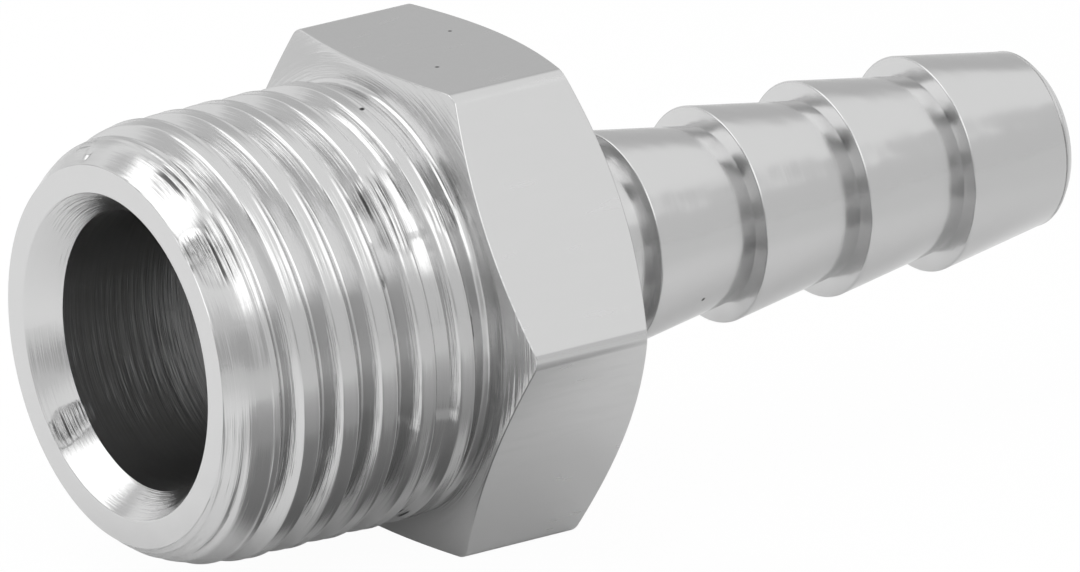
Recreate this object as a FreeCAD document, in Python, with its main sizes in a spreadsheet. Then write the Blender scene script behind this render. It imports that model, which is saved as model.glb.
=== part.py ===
"""Hose barb tail: a turned brass adapter with a G 1/4 male thread, a 14 mm hexagon and a hose tail.

Millimetres. +X runs along the fitting's axis from the thread end to the hose end, and +Z is the
normal of one flat of the hexagon. The origin lies on the axis in the shoulder plane, where the
threaded shank meets the hexagon, because the shank and the hexagon are both measured from there.
"""
import FreeCAD, Part
import os
import Sketcher

# Driving dimensions: alias, value in millimetres (or degrees, or a count), what it is
SIZES = [
    ("thread_major_diameter", 13.0, "crests of the G 1/4 thread, 0.157 under the basic 13.157"),
    ("shank_length", 8.65, "thread end face to the shoulder plane"),
    ("lead_face_diameter", 11.18, "outer edge of the flat end face"),
    ("lead_bevel_length", 0.65, "steep first bevel of the thread's start, along the axis"),
    ("lead_bevel_diameter", 12.2, "where the steep bevel turns into the gentle one"),
    ("lead_taper_length", 1.35, "gentle second bevel up to the full crests, along the axis"),
    ("relief_diameter", 12.5, "bottom of the groove between the thread and the hexagon"),
    ("relief_width", 0.95, "groove bottom, from the shoulder plane"),
    ("relief_wall_angle", 45.0, "wall of the groove on the thread's side, from the axis"),
    ("relief_foot", 0.2, "bevel that fills the corner where the groove meets the shoulder"),
    ("hex_across_flats", 14.0, "spanner size"),
    ("hex_length", 4.95, "shoulder plane to the back face of the hexagon"),
    ("hex_corner_radius", 0.5, "rounded corners of the drawn hexagonal bar"),
    ("hex_face_diameter", 13.4, "flat left inside the bevel on each face of the hexagon"),
    ("hex_front_bevel_angle", 20.0, "bevel of the corners on the thread's side, from the face"),
    ("hex_back_bevel_angle", 27.0, "bevel of the corners on the hose side, from the face"),
    ("neck_diameter", 5.5, "plain neck behind the hexagon"),
    ("neck_length", 3.15, "back face of the hexagon to the first barb's step"),
    ("neck_foot", 0.2, "bevel that fills the corner where the neck meets the hexagon"),
    ("barb_count", 4, "barbs on the tail"),
    ("barb_pitch", 3.7, "step to step"),
    ("barb_crest_diameter", 6.45, "sharp edge of each barb"),
    ("barb_root_diameter", 5.26, "small end of each barb's cone, and the nose"),
    ("barb_foot", 0.15, "bevel that fills the corner at the foot of each step"),
    ("barb_crest_bevel", 0.06, "broken edge on each crest"),
    ("nose_length", 0.35, "small end of the last cone to the tip"),
    ("nose_bevel", 0.28, "bevel of the tip that starts the hose"),
    ("front_bore_diameter", 8.2, "wide bore in the shank"),
    ("front_bore_depth", 9.5, "end face to the end of the wide bore's wall"),
    ("countersink_diameter", 9.6, "mouth of the wide bore"),
    ("countersink_depth", 0.9, "mouth of the wide bore, along the axis"),
    ("drill_point_angle", 118.0, "cone that the drill leaves at the end of the wide bore"),
    ("tail_bore_diameter", 4.0, "narrow bore through the hexagon and the tail"),
    ("tail_bore_bevel", 0.15, "broken edge of the narrow bore at the tip"),
]

# Places that several features share, as expressions on the sheet
END_FACE = "-sizes.shank_length"
BARB_START = "(sizes.hex_length + sizes.neck_length)"
TIP = f"({BARB_START} + sizes.barb_count * sizes.barb_pitch + sizes.nose_length)"
HEX_CORNER = "(sizes.hex_across_flats / sqrt(3))"

# An edge counts as found when it lies this close to its place, in millimetres
NEAR = 0.001

size = {alias: value for alias, value, note in SIZES}
doc = FreeCAD.newDocument("hose_barb_tail")


def write_sheet():
    """Put every driving dimension in the sheet, one row each: alias, value, what it is."""
    sheet = doc.addObject("Spreadsheet::Sheet", "sizes")
    for row, (alias, value, note) in enumerate(SIZES, start=1):
        sheet.set(f"A{row}", alias)
        sheet.set(f"B{row}", str(value))
        sheet.setAlias(f"B{row}", alias)
        sheet.set(f"C{row}", note)
    doc.recompute()


def new_sketch(body, name, role):
    """An empty sketch on the body's own origin plane with this role."""
    plane = next(item for item in body.Origin.OriginFeatures if item.Role == role)
    sketch = body.newObject("Sketcher::SketchObject", name)
    sketch.AttachmentSupport = [(plane, "")]
    sketch.MapMode = "FlatFace"
    return sketch


def closed_outline(sketch, corners):
    """Draw a closed run of straight lines and tie both coordinates of each corner to the sheet.

    A corner is a pair of expressions. The lines start out on a parabola, where no two corners
    meet, and the constraints pull them to their places.
    """
    count = len(corners)
    start = [FreeCAD.Vector(index, index * index, 0) for index in range(count)]
    for index in range(count):
        sketch.addGeometry(Part.LineSegment(start[index], start[(index + 1) % count]), False)
    for index in range(count):
        sketch.addConstraint(Sketcher.Constraint("Coincident", index, 2, (index + 1) % count, 1))
    for index, corner in enumerate(corners):
        for kind, place, expression in zip(("DistanceX", "DistanceY"), start[index], corner):
            name = f"corner_{index + 1}_{kind[-1].lower()}"
            number = sketch.addConstraint(Sketcher.Constraint(kind, -1, 1, index, 1, place))
            sketch.renameConstraint(number, name)
            sketch.setExpression(f"Constraints.{name}", expression)


def turned(body, kind, name, corners):
    """Turn an outline round the fitting's axis: a Revolution adds metal, a Groove takes it off."""
    sketch = new_sketch(body, f"{name}_outline", "XZ_Plane")
    closed_outline(sketch, corners)
    feature = body.newObject(kind, name)
    feature.Profile = sketch
    feature.ReferenceAxis = (sketch, ["H_Axis"])
    feature.Angle = 360
    doc.recompute()
    return feature


def rings(shape, diameter, places):
    """Names of the circles round the axis that have this diameter and stand at these places."""
    names = []
    for number, edge in enumerate(shape.Edges, start=1):
        curve = edge.Curve
        if not isinstance(curve, Part.Circle) or abs(2 * curve.Radius - diameter) > NEAR:
            continue
        if any(abs(curve.Center.x - place) < NEAR for place in places):
            names.append(f"Edge{number}")
    return names


def finish_edges(body, kind, name, edges, expression):
    """Round (Fillet) or bevel (Chamfer) these edges of the body's last feature."""
    if not edges:
        raise RuntimeError(f"{name} found no edge")
    base = body.Tip
    feature = body.newObject(kind, name)
    feature.Base = (base, edges)
    feature.setExpression("Radius" if kind.endswith("Fillet") else "Size", expression)
    doc.recompute()


def make_hexagon(body):
    """The spanner hexagon: drawn bar with rounded corners, bevelled on both faces by turning."""
    sketch = new_sketch(body, "hexagon_outline", "YZ_Plane")
    flat = "sizes.hex_across_flats / 2"
    half_side = f"{HEX_CORNER} / 2"
    closed_outline(sketch, [
        (HEX_CORNER, "0"),
        (half_side, flat),
        (f"-{half_side}", flat),
        (f"-{HEX_CORNER}", "0"),
        (f"-{half_side}", f"-{flat}"),
        (half_side, f"-{flat}"),
    ])
    bar = body.newObject("PartDesign::Pad", "hexagon")
    bar.Profile = sketch
    bar.setExpression("Length", "sizes.hex_length")
    doc.recompute()

    corners = [
        f"Edge{number}" for number, edge in enumerate(bar.Shape.Edges, start=1)
        if abs(edge.BoundBox.XLength - size["hex_length"]) < NEAR
    ]
    finish_edges(body, "PartDesign::Fillet", "hexagon_corners", corners, "sizes.hex_corner_radius")

    face = "sizes.hex_face_diameter / 2"
    height = f"({HEX_CORNER} - {face})"
    turned(body, "PartDesign::Groove", "hexagon_front_bevel", [
        ("0", face),
        ("0", HEX_CORNER),
        (f"{height} * tan(sizes.hex_front_bevel_angle)", HEX_CORNER),
    ])
    turned(body, "PartDesign::Groove", "hexagon_back_bevel", [
        ("sizes.hex_length", face),
        (f"sizes.hex_length - {height} * tan(sizes.hex_back_bevel_angle)", HEX_CORNER),
        ("sizes.hex_length", HEX_CORNER),
    ])


def make_shank(body):
    """The threaded shank at its crest diameter, with its two-stage lead-in and relief groove."""
    crest = "sizes.thread_major_diameter / 2"
    relief = "sizes.relief_diameter / 2"
    wall = f"({crest} - {relief}) / tan(sizes.relief_wall_angle)"
    turned(body, "PartDesign::Revolution", "shank", [
        ("0", "0"),
        (END_FACE, "0"),
        (END_FACE, "sizes.lead_face_diameter / 2"),
        (f"{END_FACE} + sizes.lead_bevel_length", "sizes.lead_bevel_diameter / 2"),
        (f"{END_FACE} + sizes.lead_bevel_length + sizes.lead_taper_length", crest),
        (f"-sizes.relief_width - {wall}", crest),
        ("-sizes.relief_width", relief),
        ("-sizes.relief_foot", relief),
        ("0", f"{relief} + sizes.relief_foot"),
    ])


def make_tail(body):
    """The hose tail: a plain neck, a row of saw-tooth barbs that grip the hose, and a nose."""
    neck = "sizes.neck_diameter / 2"
    root = "sizes.barb_root_diameter / 2"
    turned(body, "PartDesign::Revolution", "tail_core", [
        ("0", "0"),
        ("0", neck),
        (BARB_START, neck),
        (BARB_START, root),
        (f"{TIP} - sizes.nose_bevel", root),
        (TIP, f"{root} - sizes.nose_bevel"),
        (TIP, "0"),
    ])
    back = rings(body.Tip.Shape, size["neck_diameter"], [size["hex_length"]])
    finish_edges(body, "PartDesign::Chamfer", "neck_corner", back, "sizes.neck_foot")

    barb = turned(body, "PartDesign::Revolution", "barb", [
        (BARB_START, "0"),
        (BARB_START, "sizes.barb_crest_diameter / 2"),
        (f"{BARB_START} + sizes.barb_pitch", root),
        (f"{BARB_START} + sizes.barb_pitch", "0"),
    ])
    row = body.newObject("PartDesign::LinearPattern", "barbs")
    row.Originals = [barb]
    row.Direction = (barb.Profile[0], ["H_Axis"])
    row.setExpression("Length", "(sizes.barb_count - 1) * sizes.barb_pitch")
    row.setExpression("Occurrences", "sizes.barb_count")
    body.Tip = row
    doc.recompute()

    first = size["hex_length"] + size["neck_length"]
    steps = [first + index * size["barb_pitch"] for index in range(size["barb_count"])]
    shape = body.Tip.Shape
    feet = rings(shape, size["neck_diameter"], steps[:1])
    feet += rings(shape, size["barb_root_diameter"], steps[1:])
    finish_edges(body, "PartDesign::Chamfer", "barb_feet", feet, "sizes.barb_foot")
    crests = rings(body.Tip.Shape, size["barb_crest_diameter"], steps)
    finish_edges(body, "PartDesign::Chamfer", "barb_crests", crests, "sizes.barb_crest_bevel")


def make_passage(body):
    """The way through: countersink, wide bore, the cone its drill left, and the narrow bore."""
    wide = "sizes.front_bore_diameter / 2"
    narrow = "sizes.tail_bore_diameter / 2"
    wall_end = f"({END_FACE} + sizes.front_bore_depth)"
    point = f"({wide} - {narrow}) / tan(sizes.drill_point_angle / 2)"
    turned(body, "PartDesign::Groove", "passage", [
        (END_FACE, "0"),
        (END_FACE, "sizes.countersink_diameter / 2"),
        (f"{END_FACE} + sizes.countersink_depth", wide),
        (wall_end, wide),
        (f"{wall_end} + {point}", narrow),
        (f"{TIP} - sizes.tail_bore_bevel", narrow),
        (TIP, f"{narrow} + sizes.tail_bore_bevel"),
        (TIP, "0"),
    ])


def check_document(bodies):
    """Stop if any object failed to compute or any sub-part is not one valid closed solid."""
    for item in doc.Objects:
        if {"Invalid", "Error"} & set(item.State):
            raise RuntimeError(f"{item.Name} failed: {item.State}")
    for body in bodies:
        shape = body.Shape
        if shape.isNull() or not shape.isValid() or len(shape.Solids) != 1:
            raise RuntimeError(f"{body.Label} is not one valid solid")


def write_parts(bodies):
    """Write each sub-part to parts/NODE.step, where NODE is its label."""
    os.makedirs("parts", exist_ok=True)
    for body in bodies:
        body.Shape.exportStep(os.path.join("parts", f"{body.Label}.step"))
        box = body.Shape.BoundBox
        print(f"{body.Label}: {body.Shape.Volume:.1f} mm3, x {box.XMin:.2f} to {box.XMax:.2f}, "
              f"across {box.YLength:.2f} by {box.ZLength:.2f}")


write_sheet()
fitting = doc.addObject("PartDesign::Body", "hose_barb_tail")
fitting.Label = "hose_barb_tail"
make_hexagon(fitting)
make_shank(fitting)
make_tail(fitting)
make_passage(fitting)
doc.recompute()
check_document([fitting])
write_parts([fitting])
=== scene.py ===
# %% [markdown]
# # A nickel-plated hose barb tail
#
# The object is a small brass adapter, turned from hexagonal bar and nickel plated. A pipe thread
# screws into a port, a spanner holds the hexagon, and a soft hose is pushed over the barbs. The
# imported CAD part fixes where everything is. This lesson dresses it: the same piece with its real
# helical thread, its broken edges and the marks that the lathe left.
#
# Blender works in metres, and the sizes below are written in millimetres, as on a drawing.

# %% Load the frame
import math

import bmesh
import bpy
from mathutils import Matrix, Vector


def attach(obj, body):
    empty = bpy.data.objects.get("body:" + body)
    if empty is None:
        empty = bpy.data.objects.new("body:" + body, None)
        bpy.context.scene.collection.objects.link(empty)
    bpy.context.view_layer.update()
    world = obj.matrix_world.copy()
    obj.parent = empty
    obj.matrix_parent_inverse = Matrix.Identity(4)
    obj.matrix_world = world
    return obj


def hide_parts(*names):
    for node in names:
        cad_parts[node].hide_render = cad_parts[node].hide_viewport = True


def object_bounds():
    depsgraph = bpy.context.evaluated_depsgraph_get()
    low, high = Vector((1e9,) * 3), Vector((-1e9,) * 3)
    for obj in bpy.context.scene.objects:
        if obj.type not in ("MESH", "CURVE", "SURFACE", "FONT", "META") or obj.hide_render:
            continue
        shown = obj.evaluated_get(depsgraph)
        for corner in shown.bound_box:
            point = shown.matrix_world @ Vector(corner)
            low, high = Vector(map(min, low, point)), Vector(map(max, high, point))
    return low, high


MM = 0.001

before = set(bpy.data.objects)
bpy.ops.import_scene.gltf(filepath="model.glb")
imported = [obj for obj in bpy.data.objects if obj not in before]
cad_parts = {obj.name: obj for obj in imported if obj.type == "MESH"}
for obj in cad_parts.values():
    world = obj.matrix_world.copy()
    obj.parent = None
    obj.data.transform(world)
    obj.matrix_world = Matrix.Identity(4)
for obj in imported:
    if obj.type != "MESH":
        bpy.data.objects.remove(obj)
cad_low, cad_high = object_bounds()
print("CAD box in mm:", [round(v / MM, 2) for v in (*cad_low, *cad_high)])

# %% [markdown]
# ## The camera
#
# The photograph looks at the thread end from the left, a little from above, with a long lens. The
# camera stands on a line that leaves the fitting at this azimuth and elevation. It aims at a point
# of the fitting's axis, then moves a little in its own frame and rolls, which puts the object where
# the photograph has it. A long lens far away keeps the near and far circles almost the same shape.

# %% Camera values
FRAME_WIDTH = 1080
FOCAL_PIXELS = 20745.7
SENSOR_MM = 36
CAMERA_AZIMUTH = math.radians(-33.849)
CAMERA_ELEVATION = math.radians(18.837)
CAMERA_ROLL = math.radians(1.4354)
CAMERA_DISTANCE_MM = 600
AIM_ON_AXIS_MM = 7.4
AIM_RIGHT_MM = -1.128
AIM_UP_MM = -1.193
NEAREST_SEEN_M = 0.05
FARTHEST_SEEN_M = 20


def camera_axes():
    """The camera's right, up and backward directions, with its roll."""
    back = Vector((
        math.sin(CAMERA_AZIMUTH) * math.cos(CAMERA_ELEVATION),
        -math.cos(CAMERA_AZIMUTH) * math.cos(CAMERA_ELEVATION),
        math.sin(CAMERA_ELEVATION),
    ))
    level_right = Vector((math.cos(CAMERA_AZIMUTH), math.sin(CAMERA_AZIMUTH), 0))
    level_up = back.cross(level_right)
    right = level_right * math.cos(CAMERA_ROLL) - level_up * math.sin(CAMERA_ROLL)
    up = level_right * math.sin(CAMERA_ROLL) + level_up * math.cos(CAMERA_ROLL)
    return right, up, back

# %% Camera


def aimed_camera():
    """Adds the camera and points it along the photograph's line of sight."""
    right, up, back = camera_axes()
    aim = Vector((AIM_ON_AXIS_MM, 0, 0)) + right * AIM_RIGHT_MM + up * AIM_UP_MM
    turn = Matrix((right, up, back)).transposed().to_4x4()
    bpy.ops.object.camera_add()
    camera = bpy.context.object
    camera.name = "camera"
    camera.matrix_world = Matrix.Translation((aim + back * CAMERA_DISTANCE_MM) * MM) @ turn
    camera.data.sensor_width = SENSOR_MM
    camera.data.lens = FOCAL_PIXELS * SENSOR_MM / FRAME_WIDTH
    camera.data.clip_start = NEAREST_SEEN_M
    camera.data.clip_end = FARTHEST_SEEN_M
    return camera


bpy.context.scene.camera = aimed_camera()
print("lens in mm:", round(bpy.context.scene.camera.data.lens, 1))

# %% [markdown]
# ## Working by hand in code
#
# Edit-mode operators act on whatever is selected, so each step starts from nothing selected. These
# helpers start a piece, and pick points, edges or faces by their place, as a hand with a mouse
# would.

# %% Helpers for selecting


def deselect_everything():
    """Leaves object mode with nothing selected, so that an operator meets only its own piece."""
    if bpy.context.mode != "OBJECT":
        bpy.ops.object.mode_set(mode="OBJECT")
    bpy.ops.object.select_all(action="DESELECT")


def pick(piece):
    """Makes one piece the selected and active object."""
    deselect_everything()
    piece.select_set(True)
    bpy.context.view_layer.objects.active = piece


def select_where(piece, kind, test):
    """In edit mode, selects the verts, edges or faces that pass the test, and counts them."""
    bpy.ops.mesh.select_mode(type={"verts": "VERT", "edges": "EDGE", "faces": "FACE"}[kind])
    bpy.ops.mesh.select_all(action="DESELECT")
    mesh = bmesh.from_edit_mesh(piece.data)
    found = [item for item in getattr(mesh, kind) if test(item)]
    for item in found:
        item.select_set(True)
    mesh.select_flush_mode()
    bmesh.update_edit_mesh(piece.data)
    return len(found)

# %% Helpers for modifiers and reports


def apply_modifier(piece, kind, **settings):
    """Adds a modifier with these settings and applies it at once."""
    pick(piece)
    modifier = piece.modifiers.new(kind.lower(), kind)
    for name, value in settings.items():
        setattr(modifier, name, value)
    bpy.ops.object.modifier_apply(modifier=modifier.name)


def report(piece):
    """Prints what a finished step made."""
    piece.data.calc_loop_triangles()
    size = [round(v / MM, 2) for v in piece.dimensions]
    print(f"{piece.name}: {len(piece.data.loop_triangles)} triangles, {size} mm")

# %% [markdown]
# ## Turning an outline
#
# A lathe makes round things from an outline, and so does the spin operator. The outline is drawn as
# a chain of points (along the axis, out from the axis), each with the radius of the round that the
# tool leaves there. A single point is extruded from place to place, bevelling the points makes the
# rounds, and the spin turns the chain once round the X axis. A chain that closes on itself gives a
# closed skin, bore and all, with no caps to add.

# %% Drawing an outline
ROUND_STEPS = 4
SAME_POINT = 0.002


def chain_of_points(name, points):
    """A chain of edges through these points in mm, extruded from a single point."""
    deselect_everything()
    bpy.ops.mesh.primitive_plane_add(size=MM, location=points[0] * MM)
    piece = bpy.context.object
    piece.name = name
    bpy.ops.object.transform_apply(location=True, rotation=True, scale=True)
    bpy.ops.object.mode_set(mode="EDIT")
    bpy.ops.mesh.select_mode(type="VERT")
    bpy.ops.mesh.select_all(action="SELECT")
    bpy.ops.mesh.merge(type="CENTER")
    for here, there in zip(points, points[1:]):
        bpy.ops.mesh.extrude_vertices_move(TRANSFORM_OT_translate={"value": (there - here) * MM})
    return piece


def round_outline(piece, outline):
    """Bevels the outline's points that have a round, so that each arc has its real radius."""
    count = len(outline)
    for index, (along, out, radius) in enumerate(outline):
        if not radius:
            continue
        here = Vector((along, out))
        before = here - Vector(outline[index - 1][:2])
        after = Vector(outline[(index + 1) % count][:2]) - here
        turn = abs(before.angle_signed(after))
        place = Vector((along * MM, 0, out * MM))
        select_where(piece, "verts", lambda vert: (vert.co - place).length < SAME_POINT * MM)
        bpy.ops.mesh.bevel(
            offset=radius * math.tan(turn / 2) * MM, segments=ROUND_STEPS, affect="VERTICES")

# %% Turning
COLUMNS = 240
WELD = 0.0005


def turned_piece(name, outline):
    """Turns a closed outline of (along, out, round) stations in mm into a solid round X."""
    piece = chain_of_points(name, [Vector((along, 0, out)) for along, out, _ in outline])
    bpy.ops.mesh.select_all(action="DESELECT")
    mesh = bmesh.from_edit_mesh(piece.data)
    mesh.verts.ensure_lookup_table()
    mesh.verts[0].select_set(True)
    mesh.verts[-1].select_set(True)
    bpy.ops.mesh.edge_face_add()
    round_outline(piece, outline)
    bpy.ops.mesh.select_all(action="SELECT")
    bpy.ops.mesh.spin(steps=COLUMNS, angle=math.tau, center=(0, 0, 0), axis=(1, 0, 0))
    bpy.ops.mesh.select_all(action="SELECT")
    bpy.ops.mesh.remove_doubles(threshold=WELD * MM)
    bpy.ops.mesh.normals_make_consistent(inside=False)
    bpy.ops.object.mode_set(mode="OBJECT")
    return piece

# %% [markdown]
# ## Shank, neck, barbs and passage
#
# These are one turned skin. The list walks once round the section: from the countersink out over
# the end face, along the shank, down into the relief, through the hexagon (which comes next), along
# the neck and over the four barbs to the tip, then back through the bore. The shank is drawn plain
# here, because its thread needs rings of its own.
#
# Places along the axis count from the shoulder where shank and hexagon meet. The hexagon and this
# skin overlap by a hair, so that the two never share a face when they are joined.

# %% Sizes of the turned body
END_FACE = -8.65
LEAD_FACE_RADIUS = 5.59
CREST_RADIUS = 6.5
RELIEF_END = -0.25
RELIEF_RADIUS = 6.25
RELIEF_ROUND = 0.2
OVERLAP = 0.004
HEX_LENGTH = 4.95
NECK_RADIUS = 2.75
FIRST_BARB = 8.1
BARB_COUNT = 4
BARB_PITCH = 3.7
BARB_CREST_RADIUS = 3.225
BARB_ROOT_RADIUS = 2.63
BARB_EDGE_ROUND = 0.05
TIP = 23.25
NOSE_BEVEL = 0.28
NOSE_LINE = 0.035
BROKEN_EDGE = 0.05

# %% Sizes of the passage
COUNTERSINK_RADIUS = 4.8
COUNTERSINK_DEPTH = 0.9
WIDE_BORE_RADIUS = 4.1
WIDE_BORE_END = 0.85
DRILL_CONE_END = 2.112
SMALL_BORE_RADIUS = 2.0
TIP_BORE_BEVEL = 0.15

# %% Turned body


def front_stations():
    """Stations (along, out, round) from the countersink to the neck, in mm."""
    return [
        (END_FACE, COUNTERSINK_RADIUS, BROKEN_EDGE),
        (END_FACE, LEAD_FACE_RADIUS, 0),
        (RELIEF_END, RELIEF_RADIUS, 0),
        (OVERLAP, RELIEF_RADIUS, RELIEF_ROUND),
        (OVERLAP, RELIEF_RADIUS + 2 * RELIEF_ROUND, 0),
        (HEX_LENGTH - OVERLAP, NECK_RADIUS + 2 * RELIEF_ROUND, 0),
        (HEX_LENGTH - OVERLAP, NECK_RADIUS, RELIEF_ROUND),
    ]


def barb_stations():
    """Stations of the barbs: each steps straight up to its crest, then a cone leads to the next."""
    stations = []
    foot_radius = NECK_RADIUS
    for barb in range(BARB_COUNT):
        step = FIRST_BARB + barb * BARB_PITCH
        stations.append((step, foot_radius, 0))
        stations.append((step, BARB_CREST_RADIUS, BARB_EDGE_ROUND))
        foot_radius = BARB_ROOT_RADIUS
    return stations


def nose_and_bore_stations():
    """Stations from the fine line behind the last cone over the nose and back through the bore."""
    tail_end = FIRST_BARB + BARB_COUNT * BARB_PITCH
    return [
        (tail_end - NOSE_LINE, BARB_ROOT_RADIUS, 0),
        (tail_end, BARB_ROOT_RADIUS - NOSE_LINE, 0),
        (tail_end + NOSE_LINE / 2, BARB_ROOT_RADIUS, 0),
        (TIP - NOSE_BEVEL, BARB_ROOT_RADIUS, BROKEN_EDGE),
        (TIP, BARB_ROOT_RADIUS - NOSE_BEVEL, BROKEN_EDGE),
        (TIP, SMALL_BORE_RADIUS + TIP_BORE_BEVEL, 0),
        (TIP - TIP_BORE_BEVEL, SMALL_BORE_RADIUS, 0),
        (DRILL_CONE_END, SMALL_BORE_RADIUS, 0),
        (WIDE_BORE_END, WIDE_BORE_RADIUS, 0),
        (END_FACE + COUNTERSINK_DEPTH, WIDE_BORE_RADIUS, BROKEN_EDGE),
    ]


fitting = turned_piece("fitting", front_stations() + barb_stations() + nose_and_bore_stations())
report(fitting)

# %% [markdown]
# ## The hexagon
#
# The spanner hexagon is what is left of the drawn bar. Bar has slightly rounded corners, so a
# six-sided cylinder gets its long edges bevelled. The lathe then took the corners down at both
# faces. A turned ring stands for everything that the lathe left, and the exact boolean keeps what
# bar and ring share, which gives the curved edges that every nut has. The ring's own bore lies
# inside the wall of the turned body, so the union does away with it.

# %% Bar and ring
HEX_SIDES = 6
HEX_ACROSS_FLATS = 14.0
HEX_CORNER_ROUND = 0.5
HEX_CORNER_STEPS = 6
HEX_FACE_RADIUS = 6.7
FRONT_BEVEL = math.radians(20)
BACK_BEVEL = math.radians(27)
RING_RADIUS = 8.6
RING_FRONT_BORE_RADIUS = 5.5
RING_BACK_BORE_RADIUS = 2.5
BAR_SPARE = 1.0


def hexagonal_bar():
    """A length of drawn bar, with a flat up and a flat down, longer than the hexagon."""
    half_side_turn = math.pi / HEX_SIDES
    deselect_everything()
    bpy.ops.mesh.primitive_cylinder_add(
        vertices=HEX_SIDES, radius=HEX_ACROSS_FLATS / 2 / math.cos(half_side_turn) * MM,
        depth=(HEX_LENGTH + 2 * BAR_SPARE) * MM,
        location=(HEX_LENGTH / 2 * MM, 0, 0), rotation=(0, math.pi / 2, 0))
    bar = bpy.context.object
    bpy.ops.object.transform_apply(location=True, rotation=True, scale=True)
    bpy.ops.object.mode_set(mode="EDIT")
    long_edge = (HEX_LENGTH + BAR_SPARE) * MM
    select_where(bar, "edges", lambda edge: abs(
        edge.verts[0].co.x - edge.verts[1].co.x) > long_edge)
    bpy.ops.mesh.bevel(
        offset=HEX_CORNER_ROUND * math.tan(half_side_turn) * MM, segments=HEX_CORNER_STEPS,
        profile=0.5)
    bpy.ops.object.mode_set(mode="OBJECT")
    return bar


def bevelled_ring():
    """What the lathe leaves of the bar: a ring with both corner bevels, open in the middle."""
    rise = RING_RADIUS - HEX_FACE_RADIUS
    return turned_piece("bevelled_ring", [
        (0, RING_FRONT_BORE_RADIUS, 0),
        (0, HEX_FACE_RADIUS, 0),
        (rise * math.tan(FRONT_BEVEL), RING_RADIUS, 0),
        (HEX_LENGTH - rise * math.tan(BACK_BEVEL), RING_RADIUS, 0),
        (HEX_LENGTH, HEX_FACE_RADIUS, 0),
        (HEX_LENGTH, RING_BACK_BORE_RADIUS, 0),
    ])

# %% Hexagon
HEX_EDGE_BREAK = 0.025
HEX_EDGE_STEPS = 2
HEX_EDGE_TURN = math.radians(50)


def combine(piece, other, operation):
    """Applies an exact boolean with the other piece, and removes that piece."""
    apply_modifier(piece, "BOOLEAN", object=other, operation=operation, solver="EXACT")
    bpy.data.objects.remove(other)


def far_out(edge):
    """Whether an edge starts further from the axis than the faced ring of the hexagon."""
    return math.hypot(edge.verts[0].co.y, edge.verts[0].co.z) > HEX_FACE_RADIUS * MM


def break_hexagon_edges(hexagon):
    """Rounds the edge between the bevels and the flats by a hair, as plating and tumbling do."""
    pick(hexagon)
    bpy.ops.object.mode_set(mode="EDIT")
    select_where(hexagon, "edges", lambda edge: edge.is_manifold
                 and edge.calc_face_angle() > HEX_EDGE_TURN and far_out(edge))
    bpy.ops.mesh.bevel(offset=HEX_EDGE_BREAK * MM, segments=HEX_EDGE_STEPS, profile=0.5)
    bpy.ops.object.mode_set(mode="OBJECT")


hexagon = hexagonal_bar()
combine(hexagon, bevelled_ring(), "INTERSECT")
break_hexagon_edges(hexagon)
report(hexagon)
combine(fitting, hexagon, "UNION")
report(fitting)

# %% [markdown]
# ## The form of the thread
#
# A G 1/4 pipe thread climbs 1.337 mm each turn. On paper its flanks stand at 27.5 degrees and its
# crests are round. Here the blank was turned smaller than the full thread, so the crests are flat
# lands, and the flanks stand at 34 degrees, which gives the reflections of the photograph.
#
# The radius of the shank is a formula of the depth from the end face and of the turn, which counts
# from the -Y side towards -Z. It takes the lower of two forms: the turned blank with its two
# bevels, and the groove that the die cut. A die has a bevelled mouth, so the last grooves before
# the hexagon stay shallow. Where it stopped, a step stays in them, and along one edge of each land
# it pushed up a fine lip. One knock at the start of the thread is part of the form too.

# %% Blank and groove
PITCH = 1.337
HALF_ANGLE = math.radians(34)
LAND_WIDTH = 0.5
ROOT_ROUND = 0.1
ROOT_RADIUS = CREST_RADIUS - (PITCH - LAND_WIDTH) / 2 / math.tan(HALF_ANGLE)
STEEP_BEVEL_END = 0.667
STEEP_BEVEL_RADIUS = 6.107
GENTLE_BEVEL_END = 2.004
BLANK_SOFTNESS = 0.1


def soft_lower(a, b, softness):
    """The lower of two radii, with the corner between them rounded over about this distance."""
    blend = max(softness - abs(a - b), 0) / softness
    return min(a, b) - blend * blend * softness / 4


def groove_radius(offset):
    """Radius of the V groove at this distance along the axis from the middle of a land."""
    from_root = PITCH / 2 - abs(offset)
    if from_root < ROOT_ROUND * math.cos(HALF_ANGLE):
        centre = ROOT_RADIUS + ROOT_ROUND / math.sin(HALF_ANGLE)
        return centre - math.sqrt(ROOT_ROUND ** 2 - from_root ** 2)
    return ROOT_RADIUS + from_root / math.tan(HALF_ANGLE)


def blank_radius(depth):
    """Radius of the turned blank: steep bevel, gentle bevel, then the crest cylinder."""
    steep = LEAD_FACE_RADIUS + (STEEP_BEVEL_RADIUS - LEAD_FACE_RADIUS) * depth / STEEP_BEVEL_END
    slope = (CREST_RADIUS - STEEP_BEVEL_RADIUS) / (GENTLE_BEVEL_END - STEEP_BEVEL_END)
    gentle = STEEP_BEVEL_RADIUS + (depth - STEEP_BEVEL_END) * slope
    return soft_lower(soft_lower(steep, gentle, BLANK_SOFTNESS), CREST_RADIUS, BLANK_SOFTNESS)


print("depth of the groove in mm:", round(CREST_RADIUS - groove_radius(PITCH / 2), 3))

# %% What the die left, and the knock
DIE_MOUTH_START = 5.7
DIE_MOUTH_END = 8.0
DIE_MOUTH_RADIUS = 6.36
STOP_FROM = math.radians(-35.3)
STOP_TO = math.radians(15.7)
STOP_DEPTH = 0.05
KNOCK_PLACE = 0.35
KNOCK_TURN = math.radians(-106)
KNOCK_LENGTH = 0.22
KNOCK_WIDTH = 0.1
KNOCK_DEPTH = 0.12


def ramp(start, end, value):
    """0 before start, 1 after end, and a straight climb between."""
    return min(max((value - start) / (end - start), 0), 1)


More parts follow.
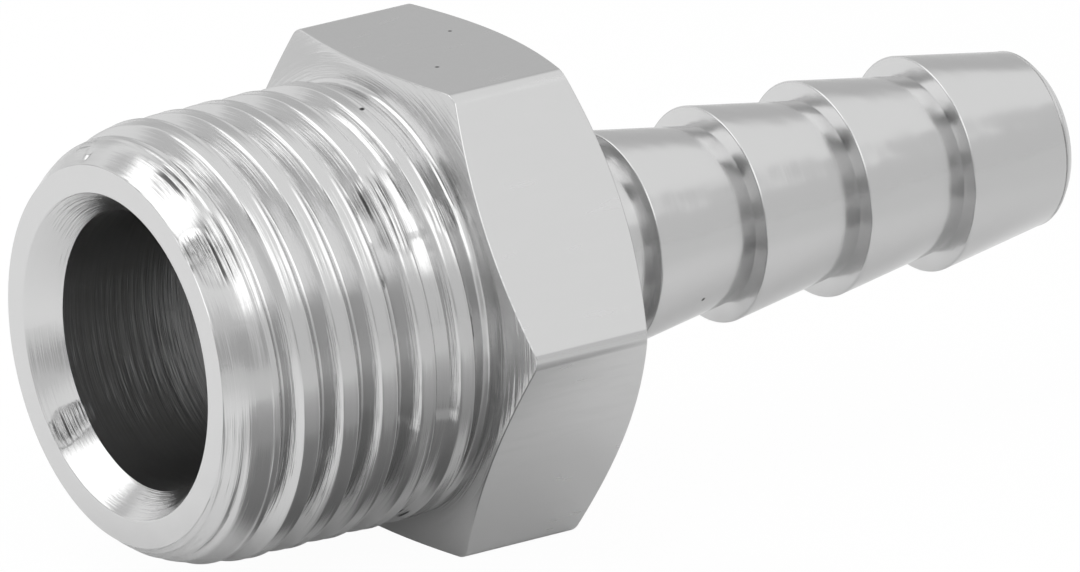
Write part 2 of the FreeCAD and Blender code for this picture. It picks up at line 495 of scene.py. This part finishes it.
def cut_radius(depth, turn, offset):
    """Radius of the groove as cut: shallow in the die's mouth, a step lower where it stopped."""
    mouth = ramp(DIE_MOUTH_START, DIE_MOUTH_END, depth)
    groove = max(groove_radius(offset), ROOT_RADIUS + (DIE_MOUTH_RADIUS - ROOT_RADIUS) * mouth)
    if depth > DIE_MOUTH_START and STOP_FROM < turn * math.tau < STOP_TO:
        groove -= STOP_DEPTH
    return groove


def knock_depth(depth, turn):
    """How deep the knock at the start of the thread goes here."""
    across = (turn * math.tau - KNOCK_TURN) * LEAD_FACE_RADIUS / KNOCK_WIDTH
    along = (depth - KNOCK_PLACE) / KNOCK_LENGTH
    return KNOCK_DEPTH * math.exp(-across ** 2 - along ** 2)

# %% The shank's radius
FIRST_CREST = 1.11
LAND_SOFTNESS = 0.06
LIP_PLACE = 0.2
LIP_WIDTH = 0.045
LIP_HEIGHT = 0.02
RELIEF_BLEND = 0.3


def shank_radius(depth, turn):
    """Radius of the threaded shank, depth mm in from the end face, after this share of a turn."""
    offset = (depth - FIRST_CREST - PITCH * turn + PITCH / 2) % PITCH - PITCH / 2
    near_relief = ramp(RELIEF_END - RELIEF_BLEND, RELIEF_END, END_FACE + depth)
    groove = cut_radius(depth, turn, offset)
    groove += (RELIEF_RADIUS - groove) * near_relief
    lip = LIP_HEIGHT * math.exp(-((offset - LIP_PLACE) / LIP_WIDTH) ** 2) * (1 - near_relief)
    blank = blank_radius(depth) + lip - LIP_HEIGHT
    return soft_lower(blank, groove, LAND_SOFTNESS) - knock_depth(depth, turn)


print("radius half way along the shank in mm:", round(shank_radius(-END_FACE / 2, 0), 2))

# %% [markdown]
# ## Sweeping the thread
#
# One pitch of the thread is drawn as a straight chain of points, closer together at the edges of
# the land, where the form turns sharply. The Screw modifier sweeps the chain up its helix, so that
# every line of the mesh follows the thread. Two cuts trim the sweep to the shank. No operator makes
# a thread with bevels and a run-out, so the formula then moves each point to its radius.

# %% Lines across one pitch
EVEN_LINES = 24
LAND_EDGE_LINES = (-0.8, -0.3, 0, 0.3, 0.8)
LIP_LINES = (-2, -1.5, -1, -0.5, 0)
CLOSEST_LINES = 0.012


def chain_offsets():
    """Where the lines of the mesh run across one pitch: evenly, and close at each land's edges."""
    even = [(line / EVEN_LINES - 0.5) * PITCH for line in range(EVEN_LINES + 1)]
    reach = LAND_SOFTNESS * math.tan(HALF_ANGLE)
    close = [side * (LAND_WIDTH / 2 + share * reach)
             for side in (-1, 1) for share in LAND_EDGE_LINES]
    close += [LIP_PLACE + share * LIP_WIDTH for share in LIP_LINES]
    clear = [offset for offset in even
             if min(abs(offset - other) for other in close) > CLOSEST_LINES]
    return sorted(clear + close)


print("lines across one pitch:", len(chain_offsets()))

# %% Thread sweep
JOINT_GAP = 0.03
CUT_REACH_M = 1e-8


def cut_at(piece, along, keep):
    """Cuts the piece across the axis and keeps what lies before or after the cut."""
    pick(piece)
    bpy.ops.object.mode_set(mode="EDIT")
    bpy.ops.mesh.select_all(action="SELECT")
    bpy.ops.mesh.bisect(
        plane_co=(along * MM, 0, 0), plane_no=(1, 0, 0), threshold=CUT_REACH_M,
        clear_inner=keep == "after", clear_outer=keep == "before")
    bpy.ops.object.mode_set(mode="OBJECT")


def swept_thread():
    """The skin of the threaded shank, open at both ends."""
    first_crest = END_FACE + FIRST_CREST - 2 * PITCH
    turns = math.ceil((RELIEF_END - first_crest) / PITCH) + 1
    skin = chain_of_points("thread_skin", [
        Vector((first_crest + offset, -CREST_RADIUS, 0)) for offset in chain_offsets()])
    bpy.ops.object.mode_set(mode="OBJECT")
    apply_modifier(
        skin, "SCREW", axis="X", angle=math.tau, screw_offset=PITCH * MM, iterations=turns,
        steps=COLUMNS, render_steps=COLUMNS, use_merge_vertices=False)
    pick(skin)
    bpy.ops.object.mode_set(mode="EDIT")
    bpy.ops.mesh.select_all(action="SELECT")
    bpy.ops.mesh.remove_doubles(threshold=WELD * MM)
    bpy.ops.object.mode_set(mode="OBJECT")
    cut_at(skin, END_FACE + JOINT_GAP, "after")
    cut_at(skin, RELIEF_END - JOINT_GAP, "before")
    for vert in skin.data.vertices:
        x, y, z = vert.co / MM
        scale = shank_radius(x - END_FACE, math.atan2(-z, -y) / math.tau) / math.hypot(y, z)
        vert.co = (x * MM, y * scale * MM, z * scale * MM)
    return skin


thread_skin = swept_thread()
report(thread_skin)

# %% [markdown]
# ## Sewing the thread in
#
# The plain shank comes off the turned body, which leaves two open rings. The thread's skin ends in
# two rings of its own, a hair away from those. Each pair is bridged with a narrow band of faces, so
# the piece is one closed skin again. The last line counts the edges that aren't between two faces.

# %% Joining thread and body
SHANK_SEARCH = 0.2


def open_shank(piece):
    """Takes the plain shank off the turned body, which leaves two rings to sew the thread to."""
    pick(piece)
    bpy.ops.object.mode_set(mode="EDIT")
    middle = (END_FACE + RELIEF_END) / 2 * MM

    def on_shank(face):
        centre = face.calc_center_median()
        out = math.hypot(centre.y, centre.z)
        return abs(centre.x - middle) < SHANK_SEARCH * MM and out > LEAD_FACE_RADIUS * MM

    print("plain shank faces taken off:", select_where(piece, "faces", on_shank))
    bpy.ops.mesh.delete(type="ONLY_FACE")
    select_where(piece, "edges", lambda edge: edge.is_wire)
    bpy.ops.mesh.delete(type="EDGE")
    bpy.ops.object.mode_set(mode="OBJECT")


def sew_ring(piece, along):
    """Bridges the two open rings that lie within a hair of this place along the axis."""
    pick(piece)
    bpy.ops.object.mode_set(mode="EDIT")
    select_where(piece, "edges", lambda edge: edge.is_boundary
                 and abs(edge.verts[0].co.x - along * MM) < 2 * JOINT_GAP * MM)
    bpy.ops.mesh.bridge_edge_loops()
    bpy.ops.object.mode_set(mode="OBJECT")


open_shank(fitting)
pick(fitting)
thread_skin.select_set(True)
bpy.ops.object.join()
sew_ring(fitting, END_FACE)
sew_ring(fitting, RELIEF_END)

# %% Check of the closed skin
pick(fitting)
bpy.ops.object.mode_set(mode="EDIT")
bpy.ops.mesh.select_all(action="SELECT")
bpy.ops.mesh.normals_make_consistent(inside=False)
open_edges = select_where(fitting, "edges", lambda edge: not edge.is_manifold)
bpy.ops.object.mode_set(mode="OBJECT")
print("edges that are not between two faces:", open_edges)
report(fitting)

# %% [markdown]
# ## Smooth and sharp
#
# Round surfaces are shaded smooth, and edges that turn by more than 32 degrees stay crisp. The
# curved rims of the hexagon turn by less in places, so they are marked by hand. Weighted normals
# keep the big flats of the hexagon flat right up to their broken edges.

# %% Shading
CRISP_TURN = math.radians(32)
RIM_TURN = math.radians(12)

pick(fitting)
bpy.ops.object.shade_smooth_by_angle(angle=CRISP_TURN)
bpy.ops.object.mode_set(mode="EDIT")
rims = select_where(fitting, "edges", lambda edge: edge.calc_face_angle() > RIM_TURN
                    and 0 < edge.verts[0].co.x < HEX_LENGTH * MM and far_out(edge))
bpy.ops.mesh.mark_sharp()
bpy.ops.object.mode_set(mode="OBJECT")
print("edges kept crisp on the hexagon:", rims)
apply_modifier(fitting, "WEIGHTED_NORMAL", keep_sharp=True)

# %% [markdown]
# ## Colour and nodes
#
# Colours are written as they look on a screen, as hex values, and one function turns them to the
# linear numbers that the renderer works in. One more function adds any node. A third makes the
# pattern that this lesson uses most: one value near a place and another value further off.

# %% Helpers for materials


def linear(colour):
    """A screen colour such as #D4D4D4 as linear red, green, blue and alpha."""
    channels = [int(colour[start:start + 2], 16) / 255 for start in (1, 3, 5)]
    return (*[c / 12.92 if c <= 0.04045 else ((c + 0.055) / 1.055) ** 2.4 for c in channels], 1)


def add_node(tree, kind, settings=None, inputs=None):
    """Adds a node: settings are its own properties, inputs are socket values or sockets to link."""
    node = tree.nodes.new(kind)
    for name, value in (settings or {}).items():
        setattr(node, name, value)
    for name, value in (inputs or {}).items():
        if isinstance(value, bpy.types.NodeSocket):
            tree.links.new(value, node.inputs[name])
        else:
            node.inputs[name].default_value = value
    return node


def by_distance(tree, place, centre, full, gone, inside, outside):
    """The inside value up to full away from the centre, the outside value beyond gone.

    With full larger than gone the pattern is inside out: the first value holds beyond full.
    """
    away = add_node(tree, "ShaderNodeVectorMath", {"operation": "DISTANCE"}, {
        0: place, 1: centre}).outputs["Value"]
    return add_node(tree, "ShaderNodeMapRange", {"interpolation_type": "SMOOTHSTEP"}, {
        "Value": away, "From Min": full, "From Max": gone,
        "To Min": inside, "To Max": outside}).outputs["Result"]

# %% [markdown]
# ## Nickel plate
#
# Nickel plate is about a hundredth of a millimetre thick and follows the brass under it, so every
# mark of the tool shows through a mirror-like grey. In a few places the tool tore the brass: the
# marks there are deep, and a painted shade darkens the bottom of them in the colour. Four small
# pits go through the plate. Each place is a point and a reach, in mm, on the skin.

# %% Plate, torn places and pits
NICKEL = "#CACACA"
# The colour of the painted shade in the hollows of the torn marks.
TORN_HOLLOW_SHADE_COLOUR = "#585858"
PIT_COLOUR = "#303030"
CORE_SHARE = 0.4
TORN_PLACES = [
    # on the bevels at the thread's start
    (-7.9, 2.2, 5.6, 0.5), (-7.7, -2.2, 5.8, 1.0), (-8.4, -4.0, 4.4, 0.6), (-8.0, -4.6, 4.0, 0.9),
    # in the countersink
    (-7.87, 3.15, -2.76, 0.5), (-8.16, 3.28, -2.96, 0.6), (-8.43, 3.31, -3.24, 0.5),
    # at the end of the thread
    (-2.5, -4.4, 4.6, 0.9), (-2.2, -5.2, 3.8, 0.8), (-0.6, -5.0, 3.9, 0.7), (-0.9, -3.1, -5.6, 0.5),
]
PITS = [
    (3.76, 0.97, 7.0, 0.08), (1.62, -1.54, 7.0, 0.09), (-1.02, -1.58, 6.29, 0.1),
    (10.03, -2.46, -1.57, 0.09),
]


def near_places(tree, in_mm, places, inside, outside):
    """A value that is one thing inside any of these places (x, y, z, reach in mm), else another."""
    for x, y, z, reach in places:
        outside = by_distance(
            tree, in_mm, (x, y, z), CORE_SHARE * reach, reach, inside, outside)
    return outside


def plated_material(name, roughness):
    """A bare nickel surface: the material, its node tree, its shader node and places in mm."""
    material = bpy.data.materials.new(name)
    material.use_nodes = True
    tree = material.node_tree
    shader = tree.nodes["Principled BSDF"]
    shader.inputs["Metallic"].default_value = 1
    shader.inputs["Roughness"].default_value = roughness
    place = add_node(tree, "ShaderNodeTexCoord").outputs["Object"]
    in_mm = add_node(tree, "ShaderNodeVectorMath", {"operation": "SCALE"},
                     {"Vector": place, "Scale": 1 / MM}).outputs["Vector"]
    return material, tree, shader, in_mm


def coloured(tree, shader, in_mm, grey):
    """Gives the surface this grey, with the pits dark in it."""
    pitted = near_places(tree, in_mm, PITS, linear(PIT_COLOUR)[0], grey)
    tree.links.new(pitted, shader.inputs["Base Color"])


def pressed(tree, shader, height):
    """Presses a height pattern, in mm, into the surface."""
    bump = add_node(tree, "ShaderNodeBump", inputs={
        "Height": height, "Distance": MM, "Strength": 1})
    tree.links.new(bump.outputs["Normal"], shader.inputs["Normal"])


print("torn places:", len(TORN_PLACES), "pits:", len(PITS))

# %% [markdown]
# ## The marks of the lathe
#
# A turned surface has one fine groove for each turn of the lathe. The pattern is noise that changes
# quickly along the tool's path and slowly round the piece. The path is the distance along the axis
# plus a part of the distance out from it (the lean), so it gives rings on a cylinder, on a cone and
# on a flat face alike. On the countersink the two parts would nearly cancel, because its cone
# closes inwards, so that finish leans the other way. On the thread the path follows the helix, and
# it starts afresh at each pitch.
#
# A real finishing cut leaves a groove about every 0.05 mm, under two pixels of this picture. The
# marks are drawn about twice as far apart, or they wouldn't show.

# %% The tool's path
TURNED_LEAN = 0.83
COUNTERSINK_LEAN = -1.3
WANDER = 0.25
MARK_DETAIL = 3
MARK_ROUGHNESS = 0.6


def within_one_pitch(tree, x, y, z):
    """The distance along the axis, in mm, from the thread's own helix to the place."""
    angle = add_node(tree, "ShaderNodeMath", {"operation": "ARCTAN2"},
                     {0: z, 1: y}).outputs["Value"]
    along = add_node(tree, "ShaderNodeMath", {"operation": "MULTIPLY_ADD"}, {
        0: angle, 1: -PITCH / math.tau, 2: x}).outputs["Value"]
    return add_node(tree, "ShaderNodeMath", {"operation": "FLOORED_MODULO"},
                    {0: along, 1: PITCH}).outputs["Value"]


def along_the_path(tree, in_mm, lean, helical):
    """How far the tool had moved along its path, in mm, when it cut this place."""
    x, y, z = add_node(tree, "ShaderNodeSeparateXYZ", inputs={"Vector": in_mm}).outputs
    away = add_node(tree, "ShaderNodeCombineXYZ", inputs={"Y": y, "Z": z}).outputs["Vector"]
    out = add_node(tree, "ShaderNodeVectorMath", {"operation": "LENGTH"},
                   {0: away}).outputs["Value"]
    across = within_one_pitch(tree, x, y, z) if helical else x
    return add_node(tree, "ShaderNodeMath", {"operation": "MULTIPLY_ADD"},
                    {0: out, 1: lean, 2: across}).outputs["Value"]


def tool_marks(tree, in_mm, path, spacing):
    """Noise of one step for each spacing along the path, which wanders a little round the piece."""
    place = add_node(tree, "ShaderNodeVectorMath", {"operation": "MULTIPLY_ADD"}, {
        0: in_mm, 1: (0, WANDER * spacing, WANDER * spacing),
        2: add_node(tree, "ShaderNodeCombineXYZ", inputs={"X": path}).outputs["Vector"]})
    return add_node(tree, "ShaderNodeTexNoise", inputs={
        "Vector": place.outputs["Vector"], "Scale": 1 / spacing, "Detail": MARK_DETAIL,
        "Roughness": MARK_ROUGHNESS}).outputs["Fac"]

# %% Turned nickel plate
TORN_DEPTH = 0.06
# Patches about 1.4 mm wide, which start at this noise level and are full at that one.
PATCHES_PER_MM = 0.7
PATCH_STARTS, PATCH_FULL = 0.5, 0.7
# Swells about 1.25 mm wide.
SWELLS_PER_MM = 0.8
# Where the marks' noise is low, in the hollows of a torn place, the colour is darkened: painted
# shade.
SHADED_BELOW, UNSHADED_ABOVE = 0.4, 0.48


def mark_height(tree, in_mm, marks, depth, wave):
    """Height of the marks in mm: up to twice as deep in patches, and deepest where it is torn."""
    patches = add_node(tree, "ShaderNodeTexNoise", inputs={
        "Vector": in_mm, "Scale": PATCHES_PER_MM, "Detail": 1}).outputs["Fac"]
    deeper = add_node(tree, "ShaderNodeMapRange", inputs={
        "Value": patches, "From Min": PATCH_STARTS, "From Max": PATCH_FULL,
        "To Min": depth, "To Max": 2 * depth}).outputs["Result"]
    height = add_node(tree, "ShaderNodeMath", {"operation": "MULTIPLY"}, {
        0: marks, 1: near_places(tree, in_mm, TORN_PLACES, TORN_DEPTH, deeper)}).outputs["Value"]
    if not wave:
        return height
    swell = add_node(tree, "ShaderNodeTexNoise", inputs={
        "Vector": in_mm, "Scale": SWELLS_PER_MM, "Detail": 1}).outputs["Fac"]
    return add_node(tree, "ShaderNodeMath", {"operation": "MULTIPLY_ADD"},
                    {0: swell, 1: wave, 2: height}).outputs["Value"]


def turned_nickel(name, roughness, spacing, depth, wave=0, helical=False, lean=TURNED_LEAN,
                  colour=NICKEL):
    """Nickel plate over turned brass, with tool marks this far apart and this deep, in mm."""
    material, tree, shader, in_mm = plated_material(name, roughness)
    path = along_the_path(tree, in_mm, lean, helical)
    marks = tool_marks(tree, in_mm, path, spacing)
    pressed(tree, shader, mark_height(tree, in_mm, marks, depth, wave))
    grey = linear(colour)[0]
    # Painted shade: in the torn places the hollows of the marks are darkened in the colour.
    hollow_shade = add_node(tree, "ShaderNodeMapRange", inputs={
        "Value": marks, "From Min": SHADED_BELOW, "From Max": UNSHADED_ABOVE,
        "To Min": linear(TORN_HOLLOW_SHADE_COLOUR)[0], "To Max": grey}).outputs["Result"]
    coloured(tree, shader, in_mm, near_places(tree, in_mm, TORN_PLACES, hollow_shade, grey))
    return material

# %% [markdown]
# ## The drawn bar
#
# The flats of the hexagon were never cut: they are the skin of the bar as it was drawn through its
# die. That leaves faint streaks along the bar, about 2 mm long and a third of a millimetre wide,
# and stains where the plate is a little duller.

# %% Drawn nickel plate
STREAKS_PER_MM = (0.5, 3, 3)
STREAK_DETAIL = 4
STREAK_DEPTH = 0.002
STAIN_STARTS, STAIN_FULL = 0.45, 0.75
CLEAN_ROUGHNESS = 0.18
STAINED_ROUGHNESS = 0.3


def drawn_nickel(name):
    """Nickel plate over the drawn faces of the bar: faint streaks along the bar and dull stains."""
    material, tree, shader, in_mm = plated_material(name, CLEAN_ROUGHNESS)
    stretched = add_node(tree, "ShaderNodeMapping", inputs={
        "Vector": in_mm, "Scale": STREAKS_PER_MM}).outputs["Vector"]
    streaks = add_node(tree, "ShaderNodeTexNoise", inputs={
        "Vector": stretched, "Scale": 1, "Detail": STREAK_DETAIL}).outputs["Fac"]
    dull = add_node(tree, "ShaderNodeMapRange", inputs={
        "Value": streaks, "From Min": STAIN_STARTS, "From Max": STAIN_FULL,
        "To Min": CLEAN_ROUGHNESS, "To Max": STAINED_ROUGHNESS})
    tree.links.new(dull.outputs["Result"], shader.inputs["Roughness"])
    scratched = add_node(tree, "ShaderNodeMath", {"operation": "MULTIPLY"},
                         {0: streaks, 1: STREAK_DEPTH}).outputs["Value"]
    pressed(tree, shader, scratched)
    coloured(tree, shader, in_mm, linear(NICKEL)[0])
    return material

# %% Five finishes
MATERIALS = [
    # A turned surface draws each reflection out along the piece. The slender tail gave way under
    # the tool, so its mirror is a little wavy.
    turned_nickel("nickel_plate_on_turned_brass", roughness=0.2, spacing=0.12, depth=0.0015,
                  wave=0.045),
    # A die cuts more roughly than a lathe tool, and its marks break up the mirror in the grooves.
    turned_nickel("nickel_plate_on_cut_thread", roughness=0.18, spacing=0.11, depth=0.01,
                  helical=True),
    # Little plate gets into a bore, and a drill leaves coarse marks: darker and duller.
    turned_nickel("thin_nickel_plate_in_the_bore", roughness=0.3, spacing=0.2, depth=0.02,
                  colour="#BCBCBC"),
    # Faces and bevels were cut square to the axis, and their arcs spread a reflection into a fan.
    turned_nickel("nickel_plate_on_faced_brass", roughness=0.18, spacing=0.1, depth=0.01,
                  lean=COUNTERSINK_LEAN),
    # Drawing leaves the flats smooth, with streaks along the bar.
    drawn_nickel("nickel_plate_on_drawn_bar"),
]
TURNED, CUT, BORED, FACED, DRAWN = range(len(MATERIALS))
print("materials:", [material.name for material in MATERIALS])

# %% [markdown]
# ## Each face its finish
#
# A face tells by its place and by the way it looks which tool made it. A face that looks at the
# axis lies in the passage. One that lies far out and doesn't slope along the axis is a flat of the
# bar.

# %% Giving out the finishes
LOOKS_INWARD = -0.2
LEVEL_ALONG = 0.02
HAIR = 0.01


def surface_kind(face):
    """Which of the five finishes a face has, from its place and the way it looks."""
    x, y, z = face.center / MM
    out = math.hypot(y, z)
    outward = (face.normal.y * y + face.normal.z * z) / out
    if outward < LOOKS_INWARD:
        return FACED if x < END_FACE + COUNTERSINK_DEPTH else BORED
    if abs(face.normal.x) < LEVEL_ALONG and out > HEX_FACE_RADIUS and 0 < x < HEX_LENGTH:
        return DRAWN
    if END_FACE + HAIR < x < RELIEF_END:
        return CUT
    if -HAIR < x < HEX_LENGTH + HAIR and out > RELIEF_RADIUS:
        return FACED
    return TURNED


for material in MATERIALS:
    fitting.data.materials.append(material)
for face in fitting.data.polygons:
    face.material_index = surface_kind(face)
used = [face.material_index for face in fitting.data.polygons]
print("faces of each finish:", [used.count(kind) for kind in range(len(MATERIALS))])

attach(fitting, "root")
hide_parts("hose_barb_tail")

# %% [markdown]
# ## The tent
#
# The fitting was photographed in a tent of white cloth, so nearly everything that the metal mirrors
# is white, and a little dimmer at the walls. The world is that tent. The camera sees it as pure
# white, and the metal sees its shades: walls that brighten towards the roof, a bright panel in
# front, and the dim places, such as the opening for the camera, a seam and two clips. Mirrored in
# the metal, those give the dark lines that show its form. Later places of the list cover earlier
# ones.

# %% Shades of the tent
WHITE = (1, 1, 1, 1)
TENT_GAIN = 1.07
WALL_LEVEL = 0.74
ROOF_LEVEL = 1.0
WALL_TOP = (22, 27)
TENT_PATCHES = [
    # azimuth from +X towards +Y, elevation, full within, gone beyond (degrees), brightness
    ("open back wall", 125, 0, 30, 50, 1.0),
    ("gap round the key panel", 145, 52, 34, 42, 0.68),
    ("opening for the camera, right", -107, 4, 15, 18, 0.5),
    ("opening for the camera, left", -126, 2, 14, 17, 0.5),
    ("front panel, lower part", -82, 48, 18, 21, 1.8),
    ("front panel, upper part", -70, 67, 11, 14, 1.8),
    ("seam over the front", -30, 28, 7, 12, 0.74),
    ("dim right wall", 49, 20, 13, 30, 0.62),
    ("clip on the left", -171, 41, 6, 9, 0.1),
    ("clip over the camera", -127, 64, 9, 12, 0.1),
]


def direction_towards(azimuth, elevation):
    """The unit vector that points this way, from degrees."""
    azimuth, elevation = math.radians(azimuth), math.radians(elevation)
    flat = math.cos(elevation)
    return Vector((flat * math.cos(azimuth), flat * math.sin(azimuth), math.sin(elevation)))


def tent_level(tree):
    """How bright the tent is in the direction in which a ray leaves."""
    direction = add_node(tree, "ShaderNodeTexCoord").outputs["Generated"]
    height = add_node(tree, "ShaderNodeSeparateXYZ", inputs={"Vector": direction}).outputs["Z"]
    low, high = (math.sin(math.radians(edge)) for edge in WALL_TOP)
    level = add_node(tree, "ShaderNodeMapRange", {"interpolation_type": "SMOOTHSTEP"}, {
        "Value": height, "From Min": low, "From Max": high,
        "To Min": WALL_LEVEL, "To Max": ROOF_LEVEL}).outputs["Result"]
    for _, azimuth, elevation, full, gone, brightness in TENT_PATCHES:
        nearness = add_node(tree, "ShaderNodeVectorMath", {"operation": "DOT_PRODUCT"}, {
            0: direction, 1: direction_towards(azimuth, elevation)}).outputs["Value"]
        level = add_node(tree, "ShaderNodeMapRange", {"interpolation_type": "SMOOTHSTEP"}, {
            "Value": nearness, "To Min": level, "To Max": brightness,
            "From Min": math.cos(math.radians(gone)),
            "From Max": math.cos(math.radians(full))}).outputs["Result"]
    return add_node(tree, "ShaderNodeMath", {"operation": "MULTIPLY"},
                    {0: level, 1: TENT_GAIN}).outputs["Value"]

# %% World


def tent():
    """The world: pure white to the camera, and the shades of the tent to everything else."""
    world = bpy.data.worlds.new("white_tent")
    bpy.context.scene.world = world
    world.use_nodes = True
    tree = world.node_tree
    rays = add_node(tree, "ShaderNodeLightPath")
    shaded = tree.nodes["Background"]
    shaded.inputs["Color"].default_value = WHITE
    tree.links.new(tent_level(tree), shaded.inputs["Strength"])
    white = add_node(tree, "ShaderNodeBackground", inputs={"Color": WHITE, "Strength": 1})
    mixed = add_node(tree, "ShaderNodeMixShader", inputs={0: rays.outputs["Is Camera Ray"]})
    tree.links.new(shaded.outputs["Background"], mixed.inputs[1])
    tree.links.new(white.outputs["Background"], mixed.inputs[2])
    tree.links.new(mixed.outputs["Shader"], tree.nodes["World Output"].inputs["Surface"])
    return world


tent_world = tent()
print("world:", tent_world.name, "with", len(TENT_PATCHES), "patches")

# %% [markdown]
# ## The key panel
#
# One lit panel on the roof, over the thread end and towards the back, adds to the tent's own light.
# It gives the broad bright bands along the top of the fitting. It is a real lamp and not one more
# patch of the world, because a patch is round and the straight edges of the panel show in the
# metal.

# %% Lamp
ROOF_HEIGHT = 2.0


def roof_panel(name, left, right, front, back, level):
    """A soft lamp on the roof of the tent, between these places, that adds this much brightness.

    The places are shares of the roof's height, so that they also say in which direction the panel
    is seen. A square metre of lamp that looks as bright as white paper gives pi watts.
    """
    width, depth = (right - left) * ROOF_HEIGHT, (back - front) * ROOF_HEIGHT
    place = ((left + right) / 2 * ROOF_HEIGHT, (front + back) / 2 * ROOF_HEIGHT, ROOF_HEIGHT)
    bpy.ops.object.light_add(type="AREA", location=place)
    lamp = bpy.context.object
    lamp.name = name
    lamp.data.shape = "RECTANGLE"
    lamp.data.size = width
    lamp.data.size_y = depth
    lamp.data.energy = level * math.pi * width * depth
    lamp.visible_camera = False
    return lamp


key_panel = roof_panel("key_panel", left=-1.3, right=-0.1, front=-0.1, back=1.0, level=1.3)
print("key panel in watts:", round(key_panel.data.energy, 1))

# %% [markdown]
# ## The sheet
#
# The fitting lies on a pale matt sheet. What counts for the metal is how bright the sheet is where
# a groove or a barb mirrors it, so shadows are painted into its colour: a painted shadow in front,
# painted contact shadows beside the hexagon and the thread, and painted dimming far off. For the
# camera the sheet glows almost white, and the small share that is left of the lit cloth keeps the
# faint shadow under the fitting. In a mirror it glows a little as well, which lifts its shades.

# %% Painted shadows of the sheet
SHEET_SIZE_M = 4
SHEET_COLOUR = "#FAFAFA"
SHEET_ROUGHNESS = 0.9
CAMERA_GLOW = 0.97
MIRRORED_GLOW = 0.05
# Painted shadows on the sheet: each one darkens the sheet's colour round a place.
PAINTED_SHEET_SHADOWS = [
    # x and y of the middle, full within, gone beyond (mm), brightness
    ("painted shadow in front", -2, -21, 12, 16, 0.35),
    # this one is inside out: full beyond 65 mm, gone within 28 mm
    ("painted dimming far off", -20, 17, 65, 28, 0.72),
    ("painted contact shadow beside the hexagon", 3.5, -4, 2.5, 4.5, 0.8),
    ("painted contact shadow beside the thread", -4, -8.5, 4, 6, 0.27),
]


def sheet_level(tree):
    """How bright the sheet's colour is at each place, with its painted shadows and painted dimming.
    """
    place = add_node(tree, "ShaderNodeTexCoord").outputs["Object"]
    level = linear(SHEET_COLOUR)[0]
    for _, x, y, full, gone, brightness in PAINTED_SHEET_SHADOWS:
        level = by_distance(
            tree, place, (x * MM, y * MM, 0), full * MM, gone * MM, brightness, level)
    return level

# %% Sheet


def sheet_material():
    """Matt white cloth with painted shadows in its colour, that glows for the camera, and a little
    in a mirror.
    """
    material = bpy.data.materials.new("matt_white_sheet")
    material.use_nodes = True
    tree = material.node_tree
    level = sheet_level(tree)
    cloth = tree.nodes["Principled BSDF"]
    cloth.inputs["Roughness"].default_value = SHEET_ROUGHNESS
    cloth.inputs["Specular IOR Level"].default_value = 0
    tree.links.new(level, cloth.inputs["Base Color"])
    rays = add_node(tree, "ShaderNodeLightPath").outputs
    glow_level = add_node(tree, "ShaderNodeMath", {"operation": "MAXIMUM"}, {
        0: rays["Is Camera Ray"], 1: level}).outputs["Value"]
    glow = add_node(tree, "ShaderNodeEmission", inputs={
        "Color": WHITE, "Strength": glow_level}).outputs["Emission"]
    mirrored = add_node(tree, "ShaderNodeMath", {"operation": "MULTIPLY"}, {
        0: rays["Is Glossy Ray"], 1: MIRRORED_GLOW}).outputs["Value"]
    share = add_node(tree, "ShaderNodeMath", {"operation": "MULTIPLY_ADD"}, {
        0: rays["Is Camera Ray"], 1: CAMERA_GLOW, 2: mirrored}).outputs["Value"]
    mixed = add_node(tree, "ShaderNodeMixShader", inputs={
        0: share, 1: cloth.outputs["BSDF"], 2: glow}).outputs["Shader"]
    tree.links.new(mixed, tree.nodes["Material Output"].inputs["Surface"])
    return material


deselect_everything()
bpy.ops.mesh.primitive_plane_add(size=SHEET_SIZE_M, location=(0, 0, cad_low.z))
floor = bpy.context.object
floor.name = "floor"
floor.data.materials.append(sheet_material())
print("floor at a height in mm of", round(cad_low.z / MM, 2))

# %% [markdown]
# ## View settings
#
# The standard view keeps the greys as they are, without a film curve.

# %% Settings
bpy.context.scene.view_settings.view_transform = "Standard"
